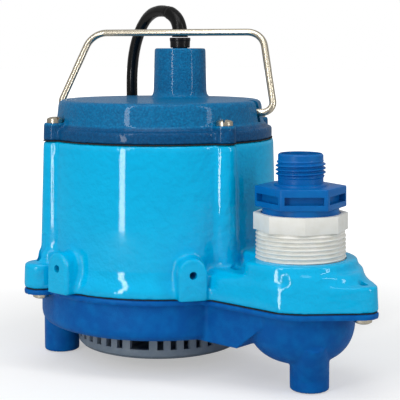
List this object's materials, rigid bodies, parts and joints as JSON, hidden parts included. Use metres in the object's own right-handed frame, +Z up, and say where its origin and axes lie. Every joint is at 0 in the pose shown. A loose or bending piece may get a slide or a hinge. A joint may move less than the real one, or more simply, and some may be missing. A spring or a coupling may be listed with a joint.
{
  "type": "submersible sump pump",
  "caption": "Submersible pump with a cast motor housing, bolted cover, wire lifting handle, volute base on feet, slotted inlet strainer, threaded side discharge and a power cord.",
  "frame": {"origin": "centre of the pump's own box, without the cord, on the floor under the feet", "axes": "+X from the motor axis towards the discharge axis, +Y across, +Z up"},
  "size_m": [0.3002, 0.2281, 0.2077],
  "materials": {
    "cyan_enamel": "glossy cyan epoxy enamel with orange peel over a rough casting",
    "blue_enamel": "satin blue enamel over a rough casting",
    "blue_plastic": "moulded mid-blue plastic, satin",
    "adapter_plastic": "moulded blue plastic, satin",
    "grey_plastic": "moulded blue-grey plastic",
    "impeller_plastic": "glass-filled moulded plastic",
    "white_pvc": "off-white PVC, satin",
    "black_rubber": "black rubber, slightly glossy",
    "cord_jacket": "black oil-resistant jacket, glossy",
    "gland_plastic": "black moulded nylon",
    "gasket_fibre": "black gasket sheet, matt",
    "stainless": "bright drawn stainless steel",
    "lamination_steel": "stacked steel laminations",
    "bearing_steel": "ground steel",
    "copper_wire": "varnished copper windings",
    "plug_brass": "plated brass",
    "seal_carbon": "carbon and black moulded plastic",
    "lead_brown": "brown wire insulation",
    "lead_white": "white wire insulation",
    "lead_green": "green wire insulation"
  },
  "bodies": {
    "pump": {"base_screw_1": "stainless", "base_screw_2": "stainless", "base_screw_3": "stainless", "base_screw_4": "stainless", "cord_coil": "cord_jacket", "cord_tail": "cord_jacket", "cover_gasket": "gasket_fibre", "cover_screw_1": "stainless", "cover_screw_2": "stainless", "cover_screw_3": "stainless", "cover_screw_4": "stainless", "discharge_bushing": "white_pvc", "gland_nut": "gland_plastic", "hose_adapter": "adapter_plastic", "housing_cover": "blue_enamel", "inlet_strainer": "grey_plastic", "lead_brown": "lead_brown", "lead_green": "lead_green", "lead_white": "lead_white", "lower_bearing": "bearing_steel", "motor_housing": "cyan_enamel", "plug_blade_1": "plug_brass", "plug_blade_2": "plug_brass", "plug_body": "black_rubber", "plug_ground_pin": "plug_brass", "power_cord": "cord_jacket", "seal_seat": "seal_carbon", "stator_core": "lamination_steel", "strain_relief": "black_rubber", "thermal_protector": "seal_carbon", "upper_bearing": "bearing_steel", "volute": "blue_plastic", "volute_gasket": "gasket_fibre", "winding_lower": "copper_wire", "winding_upper": "copper_wire"},
    "rotor": {"motor_shaft": "stainless", "rotor_core": "lamination_steel", "seal_head": "seal_carbon", "impeller": "impeller_plastic", "impeller_nut": "stainless"},
    "handle": {"lift_handle": "stainless"}
  },
  "joints": [
    {"name": "rotor_spin", "type": "hinge", "parent": "pump", "child": "rotor", "pos_m": [-0.03586, 0.00072, 0.09], "axis": [0, 0, 1], "continuous": true},
    {"name": "handle_swing", "type": "hinge", "parent": "pump", "child": "handle", "pos_m": [-0.03586, 0.00072, 0.1432], "axis": [0.9245, 0.3811, 0], "range_deg": [0, 103]}
  ]
}
